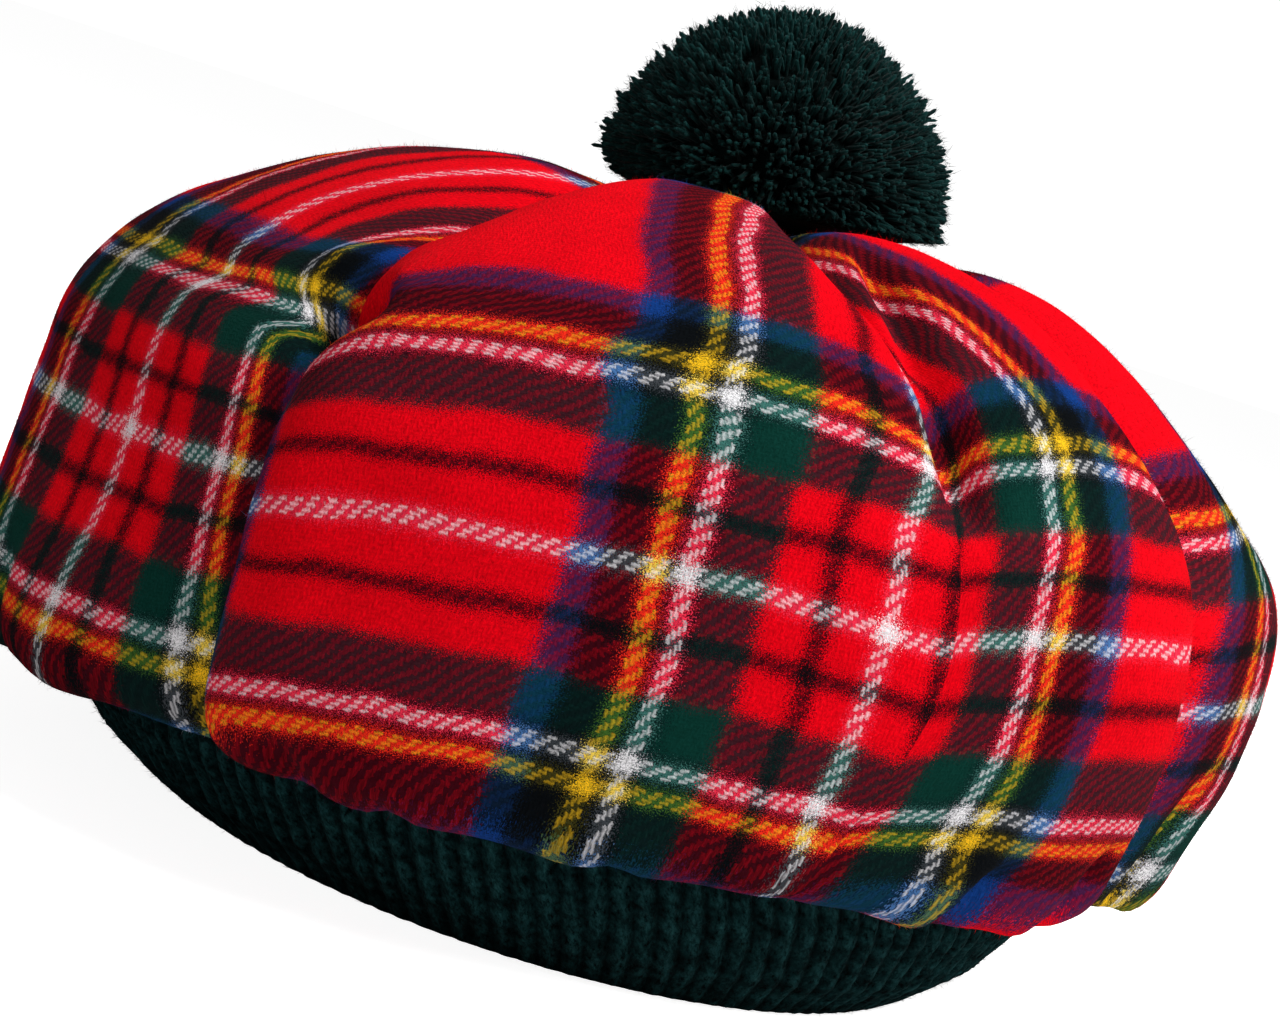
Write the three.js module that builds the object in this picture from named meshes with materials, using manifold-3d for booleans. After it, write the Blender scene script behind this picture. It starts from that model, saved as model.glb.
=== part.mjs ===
// Tam o shanter: a round tartan bonnet, gathered on to a rib-knit headband, with a yarn pompom.
// Millimetres, +Z up. The front faces -Y and the wearer's left side, as seen here, is +X.
import * as THREE from 'three';
import Module from 'manifold-3d';

const wasm = await Module();
wasm.setup();

// Headband
const bandRimRadius = 90;
const bandTopRadius = 115;
const bandHeight = 34;
const bandThickness = 3.6;
const ribCount = 112;
const ribDepth = 1.2;

// Crown
const crownRadius = 138;
const crownRise = 115;
const crownSag = 5;
const sideDroop = 6.5;
const crownSlump = 11;
const crownDrift = 3.5;
const rearDrop = 8.5;
const clothThickness = 2;
const crownLeanDegrees = 4.3;
const tuckDepth = 13;
const tuckStand = 9;
const gatherDepth = 1.6;
const gathersPerPanel = 3;

// Pompom
const pompomRadius = 38;
const pompomDrift = 2;
const lockCount = 76;
const lockRadius = 5.6;
const lockLength = 12;
const lockShow = 1 / 3;
const lockTaper = 0.5;
const lockUnevenness = 0.03;
const lockedHeight = 1.5;
const pompomLift = 0.1;

// Fit
const seatGap = 0.3;

// Mesh
const columnsPerPanel = 12;
const lockSides = 4;
const headDetail = 2;
const seatSegments = 28;
const seatReach = 2.1;

// The crown's underside, from the hem out to the widest ring. The reach is a share of the way from
// the headband's top to the crown's radius, and the sag a share of crownSag below the seam.
const undersideRows = [
  { reach: 0.03, sag: 0 },
  { reach: 0.2, sag: 0.65 },
  { reach: 0.42, sag: 1 },
  { reach: 0.63, sag: 0.5 },
  { reach: 0.79, sag: -0.7 },
];

// The crown's side and top, up to the centre. The reach is a share of crownRadius, and the rise a
// share of crownRise above the seam.
const topRows = [
  { reach: 0.98, rise: 0.11 },
  { reach: 0.996, rise: 0.24 },
  { reach: 1, rise: 0.4 },
  { reach: 0.975, rise: 0.54 },
  { reach: 0.91, rise: 0.665 },
  { reach: 0.825, rise: 0.77 },
  { reach: 0.73, rise: 0.855 },
  { reach: 0.63, rise: 0.925 },
  { reach: 0.52, rise: 0.975 },
  { reach: 0.4, rise: 1 },
  { reach: 0.29, rise: 0.99 },
  { reach: 0.19, rise: 0.965 },
  { reach: 0.09, rise: 0.935 },
];
const centreRise = 0.925;

// Where along the cloth, from hem to centre, the fold table's columns stand.
const hemShare = 0.02;
const stations = { seam: 0.06, waist: 0.3, shoulder: 0.5, top: 0.8 };

// The seven tucks that run from the crown's centre down to the headband, each with the panel that
// follows it. The azimuths are degrees from the front towards +X, the depths are shares of
// tuckDepth, and the stand, how far the cloth beside the tuck stands out, is a share of tuckStand.
// Before the tuck and after it, the cloth comes back to the panel's face within the given share of
// that panel's width. Flat is how much of the panel is pulled straight between its two tucks.
const tucks = [
  {
    azimuth: { seam: -28.5, waist: -30, shoulder: -35, top: -28 },
    depth: { seam: 0.6, waist: 0.75, shoulder: 1, top: 0.8 },
    stand: { seam: 0.6, waist: 1, shoulder: 0.7, top: 0.1 },
    before: 0.2,
    after: 0.06,
    flat: 0.45,
  },
  {
    azimuth: { seam: 22, waist: 24, shoulder: 27, top: 13 },
    depth: { seam: 0.25, waist: 0.05, shoulder: 0.5, top: 0.8 },
    stand: { seam: 0.1, waist: 0.1, shoulder: 0.2, top: 0 },
    before: 0.1,
    after: 0.14,
    flat: 0,
  },
  {
    azimuth: { seam: 60, waist: 50, shoulder: 57, top: 58 },
    depth: { seam: 0.6, waist: 0.4, shoulder: 0.35, top: 0.7 },
    stand: { seam: 0.1, waist: 0.2, shoulder: 0.3, top: 0 },
    before: 0.12,
    after: 0.16,
    flat: 0.35,
  },
  {
    azimuth: { seam: 106, waist: 106, shoulder: 107, top: 108 },
    depth: { seam: 0.5, waist: 0.42, shoulder: 0.4, top: 0.8 },
    stand: { seam: 0.1, waist: 0.3, shoulder: 0.2, top: 0 },
    before: 0.08,
    after: 0.2,
    flat: 0.5,
  },
  {
    azimuth: { seam: 160, waist: 158, shoulder: 160, top: 161 },
    depth: { seam: 0.5, waist: 0.35, shoulder: 0.7, top: 0.8 },
    stand: { seam: 0.1, waist: 0.3, shoulder: 0.2, top: 0 },
    before: 0.18,
    after: 0.08,
    flat: 0.4,
  },
  {
    azimuth: { seam: 215, waist: 217, shoulder: 215, top: 214 },
    depth: { seam: 0.5, waist: 0.5, shoulder: 0.8, top: 0.8 },
    stand: { seam: 0.1, waist: 0.3, shoulder: 0.2, top: 0 },
    before: 0.08,
    after: 0.18,
    flat: 0.5,
  },
  {
    azimuth: { seam: 272, waist: 274, shoulder: 273, top: 274 },
    depth: { seam: 0.5, waist: 0.25, shoulder: 0.4, top: 0.8 },
    stand: { seam: 0.1, waist: 0.1, shoulder: 0.1, top: 0 },
    before: 0.18,
    after: 0.1,
    flat: 0.4,
  },
];

// The shares of the crown's rise where its slump and its lower rear start, and those that they and
// its drift take to reach all of it. The rear's drop fades out within rearReach of the radius.
const slumpFoot = 0.4;
const slumpSpan = 0.45;
const driftSpan = 0.35;
const rearFoot = 0.45;
const rearSpan = 0.3;
const rearReach = 0.3;

// How much more the lower cloth droops on the +X side than in the middle.
const droopLean = 0.2;

// How much of a panel's flat each station has.
const flatness = { seam: 0.3, waist: 1, shoulder: 0.8, top: 0 };

// The headband's wall from its top down: its height and its flare, from the rim's radius to the top's.
const bandRows = [
  { height: 1, flare: 1 },
  { height: 0.45, flare: 0.65 },
  { height: 0, flare: 0 },
];

const lean = Math.tan(THREE.MathUtils.degToRad(crownLeanDegrees));
const seamHeight = bandHeight + seatGap;
const bandTopInnerRadius = bandTopRadius - bandThickness;

function smooth(share) {
  const t = THREE.MathUtils.clamp(share, 0, 1);
  return t * t * (3 - 2 * t);
}

// The value at a share of the way along the cloth, between the four stations of a table row.
function atStation(row, share) {
  const names = Object.keys(stations);
  let low = names[0];
  for (const high of names.slice(1)) {
    if (share <= stations[high]) {
      const part = (share - stations[low]) / (stations[high] - stations[low]);
      return THREE.MathUtils.lerp(row[low], row[high], smooth(part));
    }
    low = high;
  }
  return row[low];
}

// A point at an azimuth, radius and height, with the crown's lean, its drift, its slump back towards
// -X and its lower rear.
function leaningPoint(azimuth, radius, height) {
  const up = (height - seamHeight) / crownRise;
  const slump = crownSlump * smooth((up - slumpFoot) / slumpSpan) * (radius / crownRadius);
  const drift = crownDrift * smooth(up / driftSpan);
  const atRear = (1 - Math.cos(azimuth)) / 2;
  const rear = atRear * smooth((up - rearFoot) / rearSpan) * smooth(radius / (crownRadius * rearReach));
  const x = radius * Math.sin(azimuth);
  const z = height + x * lean - rearDrop * rear;
  return new THREE.Vector3(x - slump + drift, -radius * Math.cos(azimuth), z);
}

// The crown's profile from its hem on the headband to its centre, with each row's share of the way.
function crownProfile() {
  const rows = [{ radius: bandTopInnerRadius + seatGap, height: seamHeight }];
  for (const { reach, sag } of undersideRows) {
    rows.push({
      radius: THREE.MathUtils.lerp(bandTopRadius, crownRadius, reach),
      height: seamHeight - sag * crownSag,
    });
  }
  for (const { reach, rise } of topRows) {
    rows.push({ radius: reach * crownRadius, height: seamHeight + rise * crownRise });
  }
  rows.push({ radius: 0, height: seamHeight + centreRise * crownRise });
  let length = 0;
  rows.forEach((row, index) => {
    const last = rows[Math.max(index - 1, 0)];
    length += Math.hypot(row.radius - last.radius, row.height - last.height);
    row.share = length;
  });
  rows.forEach((row) => { row.share /= length; });
  return rows;
}

// How deep the cloth lies under the plain profile, at a share of the way across one panel.
function foldDepth(panel, across, row) {
  const left = tucks[panel];
  const right = tucks[(panel + 1) % tucks.length];
  const leftTuck = atStation(left.depth, row.share) * Math.exp(-across / left.after);
  const rightTuck = atStation(right.depth, row.share) * Math.exp((across - 1) / right.before);
  const gathering = 1 - smooth((row.share - stations.seam) / (stations.waist / 2));
  const gather = gatherDepth * gathering * (1 - Math.cos(2 * Math.PI * gathersPerPanel * across)) / 2;
  const atHem = smooth((row.share - hemShare) / stations.seam);
  const atCentre = smooth(row.radius / (crownRadius * stations.waist));
  return atHem * atCentre * (tuckDepth * (leftTuck + rightTuck) + gather);
}

// The azimuth at a share of the way across one panel, between its two tucks.
function panelAzimuth(panel, across, row) {
  const start = atStation(tucks[panel].azimuth, row.share);
  let end = atStation(tucks[(panel + 1) % tucks.length].azimuth, row.share);
  if (panel === tucks.length - 1) end += 360;
  return THREE.MathUtils.degToRad(THREE.MathUtils.lerp(start, end, across));
}

// How far a panel's face stands out or is pulled flat between its tucks, as a factor on the radius.
function panelReach(panel, across, row) {
  const left = tucks[panel];
  const right = tucks[(panel + 1) % tucks.length];
  const span = panelAzimuth(panel, 1, row) - panelAzimuth(panel, 0, row);
  const start = 1 + (tuckStand / crownRadius) * atStation(left.stand, row.share);
  const end = 1 + (tuckStand / crownRadius) * atStation(right.stand, row.share);
  const straight = (start * end * Math.sin(span))
    / (start * Math.sin(span * across) + end * Math.sin(span * (1 - across)));
  const arched = THREE.MathUtils.lerp(start, end, across);
  const flat = left.flat * atStation(flatness, row.share);
  const atHem = smooth((row.share - hemShare) / stations.seam);
  return THREE.MathUtils.lerp(1, THREE.MathUtils.lerp(arched, straight, flat), atHem);
}

// How far the lower cloth hangs down at the two sides, where nothing holds it up.
function sideDroopAt(azimuth, row) {
  const start = smooth((row.share - hemShare) / stations.seam);
  const end = smooth((row.share - stations.seam) / stations.waist);
  const atSide = Math.sin(azimuth) ** 2 * (1 + droopLean * Math.sin(azimuth));
  return sideDroop * atSide * start * (1 - end);
}

// A closed body wrapped round a list of rings. It runs from a start pole to an end pole, or, with
// no poles, from the last ring back to the first.
function wrapRings(rings, startPole, endPole) {
  const columns = rings[0].length;
  const points = rings.flat();
  const triangles = [];
  const at = (ring, column) => ring * columns + (column % columns);
  const steps = startPole ? rings.length - 1 : rings.length;
  for (let ring = 0; ring < steps; ring += 1) {
    const next = (ring + 1) % rings.length;
    for (let column = 0; column < columns; column += 1) {
      triangles.push(at(ring, column), at(next, column), at(ring, column + 1));
      triangles.push(at(ring, column + 1), at(next, column), at(next, column + 1));
    }
  }
  if (startPole) {
    const start = points.push(startPole) - 1;
    const end = points.push(endPole) - 1;
    for (let column = 0; column < columns; column += 1) {
      triangles.push(start, at(0, column), at(0, column + 1));
      triangles.push(end, at(rings.length - 1, column + 1), at(rings.length - 1, column));
    }
  }
  const geometry = new THREE.BufferGeometry();
  const flatPoints = points.flatMap((point) => point.toArray());
  geometry.setAttribute('position', new THREE.Float32BufferAttribute(flatPoints, 3));
  geometry.setIndex(triangles);
  return geometry;
}

// The crown: one cloth wall, hollow and open at the hem, whose tucks fold the inside too.
function crownGeometry() {
  const profile = crownProfile();
  const columns = tucks.length * columnsPerPanel;
  const outer = profile.slice(0, -1).map((row, index) => {
    const before = profile[Math.max(index - 1, 0)];
    const after = profile[index + 1];
    const run = Math.hypot(after.radius - before.radius, after.height - before.height);
    const outward = (after.height - before.height) / run;
    const upward = (before.radius - after.radius) / run;
    return Array.from({ length: columns }, (_, column) => {
      const panel = Math.floor(column / columnsPerPanel);
      const across = (column % columnsPerPanel) / columnsPerPanel;
      const depth = foldDepth(panel, across, row);
      const azimuth = panelAzimuth(panel, across, row);
      const height = row.height - depth * upward - sideDroopAt(azimuth, row);
      const reach = row.radius * panelReach(panel, across, row);
      return leaningPoint(azimuth, reach - depth * outward, height);
    });
  });
  const centre = leaningPoint(0, 0, profile.at(-1).height);
  const inner = outer.map((ring, index) => ring.map((point, column) => {
    const along = (outer[index + 1]?.[column] ?? centre).clone();
    along.sub(outer[Math.max(index - 1, 0)][column]);
    const round = ring[(column + 1) % columns].clone();
    round.sub(ring[(column + columns - 1) % columns]);
    const normal = round.cross(along).normalize();
    return point.clone().addScaledVector(normal, -clothThickness);
  }));
  const innerCentre = centre.clone().setZ(centre.z - clothThickness);
  return wrapRings([...outer.reverse(), ...inner], centre, innerCentre);
}

// The headband: a flat-bottomed knit tube with upright ribs, flaring up to the crown's hem.
function bandGeometry() {
  const columns = ribCount * 2;
  const ring = (heightShare, flare, inset, ribbed) => Array.from({ length: columns }, (_, column) => {
    const azimuth = (2 * Math.PI * column) / columns;
    const rib = ribbed && column % 2 === 1 ? ribDepth : 0;
    const radius = THREE.MathUtils.lerp(bandRimRadius, bandTopRadius, flare) - inset - rib;
    const top = bandHeight + radius * Math.sin(azimuth) * lean;
    return leaningPoint(azimuth, radius, 0).setZ(top * heightShare);
  });
  const outer = bandRows.map(({ height, flare }) => ring(height, flare, 0, true));
  const inner = bandRows.map(({ height, flare }) => ring(height, flare, bandThickness, false));
  return wrapRings([...outer, ...inner.reverse()]);
}

// A manifold-3d solid from a geometry, with its shared corners merged.
function solidOf(geometry) {
  const position = geometry.getAttribute('position');
  const index = geometry.getIndex();
  const corners = new Map();
  const vertices = [];
  const merged = [];
  for (let i = 0; i < position.count; i += 1) {
    const point = [position.getX(i), position.getY(i), position.getZ(i)];
    const key = point.map((value) => Math.round(value * 1e4)).join();
    if (!corners.has(key)) {
      corners.set(key, corners.size);
      vertices.push(...point);
    }
    merged.push(corners.get(key));
  }
  const triangles = [];
  const count = index ? index.count : position.count;
  for (let i = 0; i < count; i += 3) {
    const [a, b, c] = [0, 1, 2].map((corner) => merged[index ? index.getX(i + corner) : i + corner]);
    if (a !== b && b !== c && c !== a) triangles.push(a, b, c);
  }
  return new wasm.Manifold(new wasm.Mesh({
    numProp: 3,
    vertProperties: new Float32Array(vertices),
    triVerts: new Uint32Array(triangles),
  }));
}

function geometryOf(solid) {
  const mesh = solid.getMesh();
  const geometry = new THREE.BufferGeometry();
  geometry.setAttribute('position', new THREE.Float32BufferAttribute(mesh.vertProperties, 3));
  geometry.setIndex(Array.from(mesh.triVerts));
  return geometry;
}

// The room that the crown's top takes up under the pompom, with the seat's gap added.
function pompomSeat() {
  const reach = pompomRadius * seatReach;
  const rows = crownProfile().filter((row) => row.radius < reach && row.share > stations.shoulder);
  const rings = rows.slice(0, -1).reverse().map(({ radius, height }) => (
    Array.from({ length: seatSegments }, (_, column) => (
      leaningPoint((2 * Math.PI * column) / seatSegments, radius, height + seatGap)
    ))
  ));
  const foot = rings.at(-1).map((point) => point.clone().setZ(point.z - pompomRadius));
  const centre = leaningPoint(0, 0, rows.at(-1).height + seatGap);
  return solidOf(wrapRings([...rings, foot], centre, centre.clone().setZ(centre.z - pompomRadius)));
}

// The pompom: a round head with locks of yarn all over it, pressed flat on the crown's dimple.
function pompomGeometry() {
  const crownTop = seamHeight + crownRise;
  const centre = new THREE.Vector3(crownDrift + pompomDrift, 0, crownTop + pompomLift * pompomRadius);
  const headRadius = pompomRadius - lockLength * lockShow;
  const head = new THREE.IcosahedronGeometry(headRadius, headDetail);
  head.translate(...centre.toArray());
  let solid = solidOf(head);
  const goldenAngle = Math.PI * (3 - Math.sqrt(5));
  for (let lock = 0; lock < lockCount; lock += 1) {
    const upward = 1 - (lockedHeight * (lock + 1 / 2)) / lockCount;
    const across = Math.sqrt(1 - upward * upward);
    const turn = goldenAngle * lock;
    const way = new THREE.Vector3(across * Math.cos(turn), across * Math.sin(turn), upward);
    const tip = pompomRadius * (1 + lockUnevenness * Math.sin(turn));
    const yarn = new THREE.CylinderGeometry(lockRadius * lockTaper, lockRadius, lockLength, lockSides);
    yarn.translate(0, tip - lockLength / 2, 0);
    yarn.applyQuaternion(new THREE.Quaternion().setFromUnitVectors(new THREE.Vector3(0, 1, 0), way));
    yarn.translate(...centre.toArray());
    solid = solid.add(solidOf(yarn));
  }
  return geometryOf(solid.subtract(pompomSeat()));
}

function piece(name, geometry, color, roughness) {
  const material = new THREE.MeshStandardMaterial({ color, roughness, metalness: 0 });
  const mesh = new THREE.Mesh(geometry, material);
  mesh.name = name;
  return mesh;
}

const group = new THREE.Group();
group.add(piece('crown', crownGeometry(), 0x9c1220, 0.9));
group.add(piece('band', bandGeometry(), 0x0b2f2c, 0.95));
group.add(piece('pompom', pompomGeometry(), 0x0c332f, 0.95));

// The origin is the middle of the whole hat's footprint, on the surface that it rests on.
const middle = new THREE.Box3().setFromObject(group).getCenter(new THREE.Vector3());
group.position.set(-middle.x, -middle.y, 0);
group.updateMatrixWorld(true);

export default group;
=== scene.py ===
"""A tam o shanter: a brushed tartan crown, gathered on to a rib-knit headband, with a yarn pompom."""
import math

import bpy
import numpy as np
from mathutils import Matrix, Vector, noise


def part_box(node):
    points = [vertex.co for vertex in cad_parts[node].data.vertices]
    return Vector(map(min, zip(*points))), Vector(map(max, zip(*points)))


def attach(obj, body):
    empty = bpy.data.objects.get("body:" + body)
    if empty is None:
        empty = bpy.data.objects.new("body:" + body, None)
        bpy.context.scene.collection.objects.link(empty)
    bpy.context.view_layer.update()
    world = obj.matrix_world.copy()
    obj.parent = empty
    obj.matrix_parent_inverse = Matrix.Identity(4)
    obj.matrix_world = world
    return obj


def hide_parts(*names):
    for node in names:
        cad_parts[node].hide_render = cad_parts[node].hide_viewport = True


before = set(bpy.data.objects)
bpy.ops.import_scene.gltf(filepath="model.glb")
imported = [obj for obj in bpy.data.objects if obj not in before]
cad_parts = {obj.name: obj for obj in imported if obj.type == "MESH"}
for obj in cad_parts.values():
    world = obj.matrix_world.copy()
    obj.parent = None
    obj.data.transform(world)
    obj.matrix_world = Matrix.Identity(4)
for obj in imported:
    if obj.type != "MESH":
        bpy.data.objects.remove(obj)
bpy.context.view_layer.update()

bl_info = {
    "name": "Tam o shanter",
    "version": (1, 0, 0),
    "blender": (4, 5, 0),
    "location": "3D View > Sidebar > Bonnet",
    "description": "Makes a tartan bonnet with a knitted headband and a pompom round its packed frame",
    "category": "Add Mesh",
}

MM = 0.001
TINY = 1e-9


def table(columns, *rows):
    """Rows of values under named columns."""
    return [dict(zip(columns.split(), row)) for row in rows]


# The crown's underside, from the hem out to the widest ring. The reach is a share of the way from
# the headband's top to the crown's radius, and the sag a share of crown_sag below the seam.
UNDERSIDE_ROWS = table(
    "reach sag",
    (0.03, 0.0),
    (0.2, 0.65),
    (0.42, 1.0),
    (0.63, 0.5),
    (0.79, -0.7),
)

# The crown's side and top. The reach is a share of crown_radius, the rise a share of crown_rise.
TOP_ROWS = table(
    "reach rise",
    (0.98, 0.11),
    (0.996, 0.24),
    (1.0, 0.4),
    (0.975, 0.54),
    (0.91, 0.665),
    (0.825, 0.77),
    (0.73, 0.855),
    (0.63, 0.925),
    (0.52, 0.975),
    (0.4, 1.0),
    (0.29, 0.99),
    (0.19, 0.965),
    (0.09, 0.935),
)
CENTRE_RISE = 0.925

# Where along the cloth, from hem to centre, the four columns of the tables below stand.
HEM_SHARE = 0.02
STATIONS = {"seam": 0.06, "waist": 0.3, "shoulder": 0.5, "top": 0.8}

# The seven tucks, each with the panel that follows it. The four values of a row stand at the
# stations. Azimuths are degrees from the front towards +X, depth is a share of tuck_depth, and
# stand, how far the cloth beside the tuck stands out, a share of tuck_stand. Before the tuck and
# after it, the cloth comes back to the panel's face within a share of that panel's width. Flat is
# how much of the panel is pulled straight between its two tucks.
TUCKS = table(
    "azimuth depth stand before after flat",
    ((-28.5, -30, -31, -23), (0.6, 0.75, 1, 0.8), (0.6, 1, 0.7, 0.1), 0.2, 0.06, 0.45),
    ((22, 24, 27, 13), (0.25, 0.05, 0.5, 0.8), (0.1, 0.1, 0.2, 0), 0.1, 0.14, 0.0),
    ((60, 50, 57, 58), (0.6, 0.4, 0.35, 0.7), (0.1, 0.2, 0.3, 0), 0.12, 0.16, 0.35),
    ((106, 106, 107, 108), (0.5, 0.42, 0.4, 0.8), (0.1, 0.3, 0.2, 0), 0.08, 0.2, 0.5),
    ((160, 158, 160, 161), (0.5, 0.35, 0.7, 0.8), (0.1, 0.3, 0.2, 0), 0.18, 0.08, 0.4),
    ((215, 217, 215, 214), (0.5, 0.5, 0.8, 0.8), (0.1, 0.3, 0.2, 0), 0.08, 0.18, 0.5),
    ((272, 274, 273, 274), (0.5, 0.25, 0.4, 0.8), (0.1, 0.1, 0.1, 0), 0.18, 0.1, 0.4),
)
FLATNESS = (0.3, 1, 0.8, 0)

# How much more the lower cloth droops on the +X side than in the middle.
DROOP_LEAN = 0.2

# How the cloth lies on each panel, as thread numbers at the stations: the warp threads at its left
# and right edges, how far they bow between the edges, and the weft's shift at its middle, with what
# each edge adds to it. Near the hem the weft is eased by HEM_EASE more threads.
THREADS = table(
    "left right bow shift left_pull right_pull",
    ((-36, -40, -34, 20), (110, 120, 109, 76), (0, 0, 0, 0),
     (-4.4, -1.2, -1, -0.5), (14, 10, 22, 14), (5, 4, 4, 6)),
    ((125, 123, 110, 150), (230, 204, 190, 208), (0, 6, 10, 8),
     (-10, -4, -2.5, -2), (8.5, 6, 10, 6), (3, 0, 0, 0)),
    ((250, 240, 222, 200), (371, 394, 332, 266), (0, -24, -18, -8),
     (10, 11, 12, 12), (0, 0, 0, 0), (6, 6, 8, 4)),
    ((420, 412, 415, 430), (560, 561, 556, 532), (0, 0, 0, 0), (6, 6, 6, 6), (6, 8, 10, 4), (4, 4, 4, 4)),
    ((604, 596, 600, 620), (768, 765, 762, 734), (0, 0, 0, 0), (3, 3, 3, 3), (6, 8, 8, 4), (6, 6, 8, 4)),
    ((814, 806, 812, 832), (972, 969, 966, 940), (0, 0, 0, 0), (4, 5, 6, 6), (6, 6, 8, 4), (4, 4, 4, 4)),
    ((-211, -200, -195, -168), (-55, -45, -29, -90), (6, -20, -26, 0),
     (1.2, 4.7, 9, 9), (0, 0, 0, 0), (0, -4, -17, -8)),
)
WEFT_AT_HEM = 11.7
HEM_EASE = 11
HEM_REACH = 0.07
PULL_REACH = 0.2

# Creases and puckers that are smaller than a tuck, from start to end. Places are an azimuth in
# degrees and a share of the cloth, depth is a share of tuck_depth (below nothing it is a ridge),
# and width is in millimetres.
CREASES = table(
    "start end depth width",
    ((-38, 0.49), (-27, 0.6), -0.28, 6),
    ((-33, 0.44), (-25, 0.495), 1.0, 5.5),
    ((27, 0.37), (29, 0.56), 0.4, 4.5),
    ((29.5, 0.5), (23, 0.74), 0.4, 4.5),
    ((-52, 0.4), (-40, 0.62), 0.14, 9),
    ((-18, 0.045), (-22, 0.13), 0.22, 4),
    ((-10, 0.04), (-13, 0.1), 0.16, 3.5),
    ((36, 0.05), (39, 0.16), 0.36, 4),
    ((48, 0.05), (52, 0.18), 0.45, 4.5),
    ((66, 0.06), (61, 0.24), 0.38, 5),
    ((8, 0.04), (5, 0.1), 0.12, 4),
    ((84, 0.05), (80, 0.2), 0.2, 6),
    ((128, 0.05), (132, 0.22), 0.22, 6),
    ((183, 0.05), (186, 0.2), 0.22, 6),
    ((238, 0.05), (243, 0.24), 0.24, 6),
    ((-62, 0.05), (-60, 0.2), 0.2, 5),
)

# The half sett: each stripe of the tartan and the thread where it ends, counted from the middle of
# the wide red.
SETT = (
    ("red", 35), ("blue", 42), ("black", 52), ("yellow", 56), ("black", 59), ("white", 63),
    ("black", 65), ("green", 78), ("red", 88), ("black", 92), ("red", 102), ("white", 104),
)

# The headband's outer wall, from its top down: how high it is, and how far it flares.
BAND_ROWS = table(
    "height flare",
    (1.0, 1.0),
    (0.62, 0.8),
    (0.27, 0.45),
    (0.0, 0.0),
)


def length_property(name, description, default):
    return bpy.props.FloatProperty(name=name, description=description, default=default, unit="LENGTH")


def colour_property(name, description, default):
    return bpy.props.FloatVectorProperty(
        name=name, description=description, size=3, subtype="COLOR", default=default)


class BonnetSizes(bpy.types.PropertyGroup):
    """The bonnet's sizes"""
    crown_radius: length_property("Crown radius", "Radius of the crown at its widest", 0.138)
    crown_rise: length_property("Crown rise", "Height of the crown above its seam", 0.115)
    crown_sag: length_property("Crown sag", "How far the underside hangs below the seam", 0.005)
    crown_slump: length_property("Crown slump", "How far the top has slipped to one side", 0.011)
    crown_drift: length_property("Crown drift", "How far the crown sits off the headband's middle", 0.0035)
    rear_drop: length_property("Rear drop", "How far the top is lower at the back", 0.0085)
    crown_lean: bpy.props.FloatProperty(
        name="Crown lean", description="How far the crown leans to one side", default=math.radians(4.3),
        subtype="ANGLE")
    side_droop: length_property("Side droop", "How far the lower cloth hangs at the sides", 0.0065)
    cloth_thickness: length_property("Cloth thickness", "Thickness of the brushed cloth", 0.002)
    tuck_depth: length_property("Tuck depth", "Depth of the deepest tuck", 0.013)
    tuck_stand: length_property("Tuck stand", "How far the cloth stands out beside a tuck", 0.009)
    gather_depth: length_property("Gather depth", "Depth of the gathers above the seam", 0.0016)
    thread_pitch: length_property("Thread pitch", "Distance between two threads", 0.0008154)
    band_rim_radius: length_property("Rim radius", "Radius of the headband's rim", 0.09)
    band_top_radius: length_property(
        "Band top radius", "Radius of the headband where the crown is sewn on", 0.115)
    band_height: length_property("Band height", "Height of the headband", 0.034)
    band_thickness: length_property("Band thickness", "Thickness of the knit", 0.0036)
    rib_count: bpy.props.IntProperty(
        name="Ribs", description="Ribs round the headband", default=150, min=20)
    rib_depth: length_property("Rib depth", "Depth of the grooves between the ribs", 0.0012)
    pompom_radius: length_property("Pompom radius", "Radius of the pompom", 0.038)
    pompom_drift: length_property("Pompom drift", "How far the pompom sits off the middle", 0.002)
    yarn_count: bpy.props.IntProperty(
        name="Yarns", description="Cut yarns of the pompom", default=8500, min=100)
    yarn_radius: length_property("Yarn radius", "Radius of one cut yarn", 0.0006)
    seat_gap: length_property("Seat gap", "Gap between two pieces that touch", 0.0003)


class BonnetColours(bpy.types.PropertyGroup):
    """The bonnet's colours"""
    red: colour_property("Red", "The tartan's red threads", (0.8, 0.0015, 0.008))
    blue: colour_property("Blue", "The tartan's blue threads", (0.006, 0.04, 0.2))
    black: colour_property("Black", "The tartan's black threads", (0.003, 0.004, 0.005))
    yellow: colour_property("Yellow", "The tartan's yellow threads", (0.95, 0.55, 0.015))
    white: colour_property("White", "The tartan's white threads", (0.9, 0.88, 0.9))
    green: colour_property("Green", "The tartan's green threads", (0.003, 0.034, 0.025))
    knit: colour_property("Knit", "The headband's yarn", (0.0034, 0.0155, 0.016))
    pompom: colour_property("Pompom", "The pompom's yarn", (0.0028, 0.02, 0.019))


def smooth(share):
    """A soft step from 0 to 1."""
    t = np.clip(share, 0, 1)
    return t * t * (3 - 2 * t)


def at_station(row, share):
    """A table row's value at shares of the way along the cloth."""
    stops = list(STATIONS.values())
    value = np.full_like(share, row[0], dtype=float)
    for low, high, first, last in zip(row, row[1:], stops, stops[1:]):
        value = np.where(share > first, low + (high - low) * smooth((share - first) / (last - first)), value)
    return value


def seam_height(size):
    return size.band_height + size.seat_gap


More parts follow.
